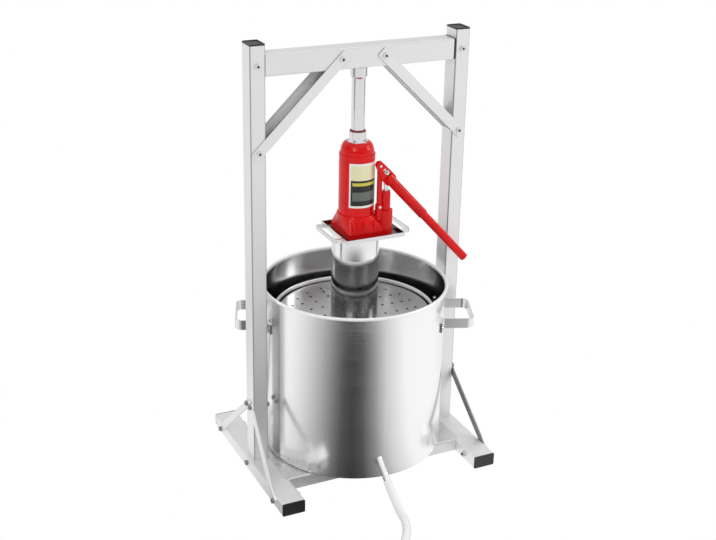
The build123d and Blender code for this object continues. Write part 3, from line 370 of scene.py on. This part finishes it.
strap_steel = steel("strap_steel", (0.84, 0.84, 0.84), 0.20, (60.0, 60.0, FINE), contrast=0.03)
turned_steel = steel("turned_steel", (0.80, 0.80, 0.80), 0.18, rings=(1500.0, 1.0), contrast=0.06)
ram_steel = steel("ram_steel", (0.80, 0.80, 0.80), 0.12, rings=(900.0, 1.0), contrast=0.03)


def plastic(name, colour, rough, grain=700.0, depth=0.00006):
    """Moulded black plastic or rubber with a fine even grain."""
    material, tree, shader, coords = surface(name)
    fine = noise(tree, coords, grain, 2.0)
    broad = noise(tree, coords, 25.0, 3.0)
    tree.links.new(tint(tree, broad, colour, tuple(c * 1.5 for c in colour)), shader.inputs["Base Color"])
    tree.links.new(spread(tree, fine, rough - 0.06, rough + 0.08), shader.inputs["Roughness"])
    bump(tree, shader, fine, depth)
    return material


cap_plastic = plastic("cap_plastic", (0.012, 0.012, 0.012), 0.42)
black_rubber = plastic("black_rubber", (0.02, 0.02, 0.02), 0.55)
wiper_rubber = plastic("wiper_rubber", (0.16, 0.008, 0.008), 0.45)

PAINT = (0.78, 0.005, 0.006)
PAINT_DEEP = (0.62, 0.003, 0.004)


def paint(name, grain, depth, rough=0.26):
    """Red gloss paint: a slight ripple, or the skin of the casting under it."""
    material, tree, shader, coords = surface(name)
    broad = noise(tree, coords, 30.0, 3.0)
    skin = noise(tree, coords, grain, 3.0)
    tree.links.new(tint(tree, broad, PAINT_DEEP, PAINT), shader.inputs["Base Color"])
    tree.links.new(spread(tree, skin, rough - 0.05, rough + 0.07), shader.inputs["Roughness"])
    shader.inputs["Specular IOR Level"].default_value = 0.22
    shader.inputs["Coat Weight"].default_value = 0.12
    shader.inputs["Coat Roughness"].default_value = 0.12
    bump(tree, shader, skin, depth)
    return material


sheet_paint = paint("sheet_paint", 220.0, 0.00004)
cast_paint = paint("cast_paint", 420.0, 0.00035, 0.34)


def clear_plastic(name):
    """Milky hose wall with a faint cloudiness and a waxy gloss."""
    material, tree, shader, coords = surface(name)
    cloud = noise(tree, coords, 14.0, 1.0)
    tree.links.new(tint(tree, cloud, (0.84, 0.85, 0.85), (0.88, 0.89, 0.89)), shader.inputs["Base Color"])
    tree.links.new(spread(tree, cloud, 0.30, 0.38), shader.inputs["Roughness"])
    return material


hose_material = clear_plastic("hose_material")
hose_curve.materials.append(hose_material)


def painted_shade_inside(material, radius, colour, rough):
    """Painted shade inside this radius: the vessel's wall and floor get a darker colour and the given roughness."""
    tree = material.node_tree
    shader = tree.nodes["Principled BSDF"]
    place = tree.nodes.new("ShaderNodeTexCoord").outputs["Object"]
    parts = tree.nodes.new("ShaderNodeSeparateXYZ")
    tree.links.new(place, parts.inputs[0])
    level = tree.nodes.new("ShaderNodeCombineXYZ")
    tree.links.new(parts.outputs[0], level.inputs[0])
    tree.links.new(parts.outputs[1], level.inputs[1])
    length = tree.nodes.new("ShaderNodeVectorMath")
    length.operation = "LENGTH"
    tree.links.new(level.outputs[0], length.inputs[0])
    inside = math_node(tree, "LESS_THAN", length.outputs["Value"], radius)
    for name, value in (("Base Color", (*colour, 1)), ("Roughness", rough)):
        mixed = tree.nodes.new("ShaderNodeMix")
        mixed.data_type = "RGBA" if name == "Base Color" else "FLOAT"
        first, second = (6, 7) if name == "Base Color" else (2, 3)
        tree.links.new(inside, mixed.inputs[0])
        tree.links.new(shader.inputs[name].links[0].from_socket, mixed.inputs[first])
        mixed.inputs[second].default_value = value
        tree.links.new(mixed.outputs[2 if name == "Base Color" else 0], shader.inputs[name])


LEVER_PIVOT = Vector((0.0335, -0.0315, 0.620))
LEVER_YAW, LEVER_DROOP = radians(-7), radians(47.6)
TUBE_DROP = 0.0048
EXTENSION_WALL_MIDDLE = 0.0078
handle_dir = Vector((cos(LEVER_YAW) * cos(LEVER_DROOP), sin(LEVER_YAW) * cos(LEVER_DROOP), -sin(LEVER_DROOP)))
lever_side = Vector((-sin(LEVER_YAW), cos(LEVER_YAW), 0))
tube_root = LEVER_PIVOT - handle_dir.cross(lever_side) * TUBE_DROP


def painted_shade_bore(material, root, direction, radius, colour):
    """Painted shade inside this radius round the tube's axis, where the bore is bare: the colour there is dark."""
    tree = material.node_tree
    shader = tree.nodes["Principled BSDF"]
    place = tree.nodes.new("ShaderNodeTexCoord").outputs["Object"]
    offset = tree.nodes.new("ShaderNodeVectorMath")
    offset.operation = "SUBTRACT"
    tree.links.new(place, offset.inputs[0])
    offset.inputs[1].default_value = root
    across = tree.nodes.new("ShaderNodeVectorMath")
    across.operation = "CROSS_PRODUCT"
    tree.links.new(offset.outputs[0], across.inputs[0])
    across.inputs[1].default_value = direction
    length = tree.nodes.new("ShaderNodeVectorMath")
    length.operation = "LENGTH"
    tree.links.new(across.outputs[0], length.inputs[0])
    inside = math_node(tree, "LESS_THAN", length.outputs["Value"], radius)
    mixed = tree.nodes.new("ShaderNodeMix")
    mixed.data_type = "RGBA"
    tree.links.new(inside, mixed.inputs[0])
    tree.links.new(shader.inputs["Base Color"].links[0].from_socket, mixed.inputs[6])
    mixed.inputs[7].default_value = (*colour, 1)
    tree.links.new(mixed.outputs[2], shader.inputs["Base Color"])


tube_paint = paint("tube_paint", 220.0, 0.00004)
painted_shade_bore(tube_paint, tube_root, handle_dir, EXTENSION_WALL_MIDDLE, (0.02, 0.015, 0.015))

SOCKET_RADIUS = 0.0024
BEAM_MIDDLE, BRACE_LOW, STAY_HIGH, STAY_LOW = 0.830, 0.668, 0.143, 0.013


def socket_screw(name, colour, level, spots):
    """Steel screws with painted shade for the socket in the head, a dark disc at each spot; spots are the axes across
    the other two directions.
    """
    material = steel(name, colour, 0.32, (300.0, 300.0, 300.0), metal=SATIN)
    tree = material.node_tree
    shader = tree.nodes["Principled BSDF"]
    flat = scaled(tree, tree.nodes.new("ShaderNodeTexCoord").outputs["Object"], level)
    nearest = 1.0
    for spot in spots:
        gap = tree.nodes.new("ShaderNodeVectorMath")
        gap.operation = "DISTANCE"
        tree.links.new(flat, gap.inputs[0])
        gap.inputs[1].default_value = spot
        nearest = math_node(tree, "MINIMUM", gap.outputs["Value"], nearest)
    socket = tree.nodes.new("ShaderNodeMix")
    socket.data_type = "RGBA"
    tree.links.new(math_node(tree, "LESS_THAN", nearest, SOCKET_RADIUS), socket.inputs[0])
    tree.links.new(shader.inputs["Base Color"].links[0].from_socket, socket.inputs[6])
    socket.inputs[7].default_value = (0.02, 0.02, 0.02, 1)
    tree.links.new(socket.outputs[2], shader.inputs["Base Color"])
    return material


face_screw = socket_screw("face_screw", (0.74, 0.74, 0.74), (1, 0, 1), [
    (side * x, 0, z) for side in (-1, 1) for x, z in ((0.044, BEAM_MIDDLE), (0.209, BRACE_LOW), (0.210, BEAM_MIDDLE))
])
side_screw = socket_screw("side_screw", (0.26, 0.26, 0.26), (0, 1, 1), [
    (0, y, z) for y, z in (
        (-0.148, STAY_LOW), (0, STAY_LOW), (0.148, STAY_LOW), (-0.0095, STAY_HIGH), (0.0095, STAY_HIGH),
    )
])


def darker_where(material, mask, colour):
    """The material's colour changed towards this one by the mask."""
    tree = material.node_tree
    shader = tree.nodes["Principled BSDF"]
    mixed = tree.nodes.new("ShaderNodeMix")
    mixed.data_type = "RGBA"
    tree.links.new(mask, mixed.inputs[0])
    tree.links.new(shader.inputs["Base Color"].links[0].from_socket, mixed.inputs[6])
    mixed.inputs[7].default_value = (*colour, 1)
    tree.links.new(mixed.outputs[2], shader.inputs["Base Color"])


def normal_parts(tree):
    """X, Y and Z of the surface's normal."""
    parts = tree.nodes.new("ShaderNodeSeparateXYZ")
    tree.links.new(tree.nodes.new("ShaderNodeNewGeometry").outputs["True Normal"], parts.inputs[0])
    return parts.outputs


# Painted shade: the posts' rolled corners, the braces' edges and the tray's floor are coloured darker than the flats
tree = post_steel.node_tree
x, y, z = normal_parts(tree)
corner = math_node(tree, "ABSOLUTE", math_node(tree, "MULTIPLY", x, y))
darker_where(post_steel, spread(tree, corner, 0.0, 0.9, 0.15, 0.4), (0.28, 0.28, 0.28))
# Painted shade: the braces' edge faces, those not facing front or back, are coloured dark grey
for brace_steel in (rising_steel, falling_steel):
    tree = brace_steel.node_tree
    x, y, z = normal_parts(tree)
    darker_where(brace_steel, math_node(tree, "LESS_THAN", math_node(tree, "ABSOLUTE", y), 0.5), (0.36, 0.36, 0.36))
# Painted shade: the tray's floor inside its rim is coloured nearly black
TRAY_FLOOR = 0.481
tree = tray_steel.node_tree
x, y, z = normal_parts(tree)
place = tree.nodes.new("ShaderNodeSeparateXYZ")
tree.links.new(tree.nodes.new("ShaderNodeTexCoord").outputs["Object"], place.inputs[0])
low = math_node(tree, "COMPARE", place.outputs[2], TRAY_FLOOR, 0.0004)
darker_where(tray_steel, math_node(tree, "MULTIPLY", low, math_node(tree, "GREATER_THAN", z, 0.9)), (0.10, 0.10, 0.10))



def shaded_below(material, low, high, colour):
    """The colour blends towards this one below the height high, fully at the height low."""
    tree = material.node_tree
    place = tree.nodes.new("ShaderNodeSeparateXYZ")
    tree.links.new(tree.nodes.new("ShaderNodeTexCoord").outputs["Object"], place.inputs[0])
    darker_where(material, spread(tree, place.outputs[2], 1.0, 0.0, low, high), colour)


def painted_highlight_rim(material, height):
    """Above this height the rolled rim is satin, and its colour is made light as a painted highlight."""
    tree = material.node_tree
    shader = tree.nodes["Principled BSDF"]
    place = tree.nodes.new("ShaderNodeSeparateXYZ")
    tree.links.new(tree.nodes.new("ShaderNodeTexCoord").outputs["Object"], place.inputs[0])
    above = math_node(tree, "GREATER_THAN", place.outputs[2], height)
    darker_where(material, above, (0.93, 0.93, 0.93))
    for name, value in (("Metallic", 0.35), ("Roughness", 0.30)):
        socket = shader.inputs[name]
        mixed = tree.nodes.new("ShaderNodeMix")
        tree.links.new(above, mixed.inputs[0])
        if socket.is_linked:
            tree.links.new(socket.links[0].from_socket, mixed.inputs[2])
        else:
            mixed.inputs[2].default_value = socket.default_value
        mixed.inputs[3].default_value = value
        tree.links.new(mixed.outputs[0], socket)


POT_WALL_MIDDLE = 0.1806
POT_RIM_FOOT, BASKET_RIM_FOOT = 0.3700, 0.3112
# Painted shade inside the pot
painted_shade_inside(pot_steel, POT_WALL_MIDDLE, (0.68, 0.68, 0.68), 0.17)
painted_highlight_rim(pot_steel, POT_RIM_FOOT)
painted_highlight_rim(basket_steel, BASKET_RIM_FOOT)
# Painted shade: the column's foot is coloured darker where it stands in the shade of the pot
shaded_below(column_steel, 0.315, 0.345, (0.06, 0.06, 0.06))
shaded_below(column_steel, 0.345, 0.406, (0.24, 0.24, 0.24))

finishes = {
    post_steel: ("left_post", "right_post"),
    foot_steel: ("left_foot", "right_foot"),
    beam_steel: ("crossbeam", "beam_tenons"),
    platform_steel: ("platform",),
    rising_steel: ("front_left_brace", "rear_left_brace"),
    falling_steel: ("front_right_brace", "rear_right_brace"),
    stay_steel: ("left_front_stay", "left_rear_stay"),
    painted_shade_stay_steel: ("right_front_stay", "right_rear_stay"),
    nut_steel: ("frame_nuts",),
    face_screw: ("brace_bolts", "beam_bolts"),
    side_screw: ("foot_bolts", "stay_bolts"),
    cap_plastic: ("foot_end_caps", "post_top_caps", "beam_end_plug"),
    pot_steel: ("outer_pot", "pot_base", "drain_spout"),
    strap_steel: ("left_pot_handle", "right_pot_handle", "handle_rivets"),
    basket_steel: ("inner_basket",),
    plate_steel: ("press_plate",),
    column_steel: ("press_column",),
    tray_steel: ("jack_tray", "left_tray_handle", "right_tray_handle"),
    cast_paint: ("jack_base",),
    sheet_paint: (
        "oil_reservoir", "reservoir_cap", "pump_link", "handle_socket", "handle_tube", "pump_barrel", "pump_gland",
    ),
    tube_paint: ("handle_extension",),
    turned_steel: (
        "pressure_cylinder", "gland_nut", "link_pins", "extension_screw", "saddle",
        "pump_piston", "piston_pin", "release_valve",
    ),
    ram_steel: ("ram",),
    wiper_rubber: ("ram_wiper",),
    black_rubber: ("filler_plug", "piston_cup", "drain_hose"),
}
for material, names in finishes.items():
    for name in names:
        slots = nodes[name].material_slots
        for slot in slots:
            slot.material = material


# Label on the reservoir: plain fields of colour, no lettering
LABEL_LEFT, LABEL_RIGHT = radians(-140), radians(-32)
LABEL_LOW, LABEL_HIGH = 0.539, 0.628
LABEL_STAND = 0.00015
LABEL_STEPS = 48
reservoir_low, reservoir_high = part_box("oil_reservoir")
label_radius = (reservoir_high.x - reservoir_low.x) / 2 + LABEL_STAND
verts, faces = [], []
for step in range(LABEL_STEPS + 1):
    angle = LABEL_LEFT + (LABEL_RIGHT - LABEL_LEFT) * step / LABEL_STEPS
    for z in (LABEL_LOW, LABEL_HIGH):
        verts.append((label_radius * cos(angle), label_radius * sin(angle), z))
for step in range(LABEL_STEPS):
    first = 2 * step
    faces.append((first, first + 2, first + 3, first + 1))
label_mesh = bpy.data.meshes.new("jack_label")
label_mesh.from_pydata(verts, [], faces)
uv = label_mesh.uv_layers.new(name="label")
for polygon in label_mesh.polygons:
    polygon.use_smooth = True
    for loop in polygon.loop_indices:
        vertex = label_mesh.loops[loop].vertex_index
        uv.data[loop].uv = ((vertex // 2) / LABEL_STEPS, vertex % 2)
label = linked("jack_label", label_mesh)
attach(label, "press_stack")

material, tree, shader, coords = surface("label_print")
place = tree.nodes.new("ShaderNodeUVMap")
place.uv_map = "label"
parts = tree.nodes.new("ShaderNodeSeparateXYZ")
tree.links.new(place.outputs[0], parts.inputs[0])


def field(left, right_edge, low, high):
    """1 inside this part of the label, 0 outside."""
    u, v = parts.outputs[0], parts.outputs[1]
    inside_u = math_node(tree, "MULTIPLY", math_node(tree, "GREATER_THAN", u, left),
                         math_node(tree, "LESS_THAN", u, right_edge))
    inside_v = math_node(tree, "MULTIPLY", math_node(tree, "GREATER_THAN", v, low),
                         math_node(tree, "LESS_THAN", v, high))
    return math_node(tree, "MULTIPLY", inside_u, inside_v)


colour = ramp_node(tree, noise(tree, coords, 400.0), [(0.3, (0.82, 0.80, 0.76)), (0.7, (0.88, 0.87, 0.83))])
for area, shade in (
    (field(0.05, 0.95, 0.62, 0.95), (0.80, 0.76, 0.48)),
    (field(0.05, 0.95, 0.05, 0.62), (0.012, 0.012, 0.012)),
    (field(0.10, 0.90, 0.50, 0.57), (0.62, 0.55, 0.06)),
    (field(0.10, 0.90, 0.16, 0.36), (0.13, 0.14, 0.13)),
):
    layer = tree.nodes.new("ShaderNodeMix")
    layer.data_type = "RGBA"
    tree.links.new(area, layer.inputs[0])
    tree.links.new(colour, layer.inputs[6])
    layer.inputs[7].default_value = (*shade, 1)
    colour = layer.outputs[2]
tree.links.new(colour, shader.inputs["Base Color"])
shader.inputs["Roughness"].default_value = 0.32
bump(tree, shader, noise(tree, coords, 900.0), 0.00002)
label_mesh.materials.append(material)
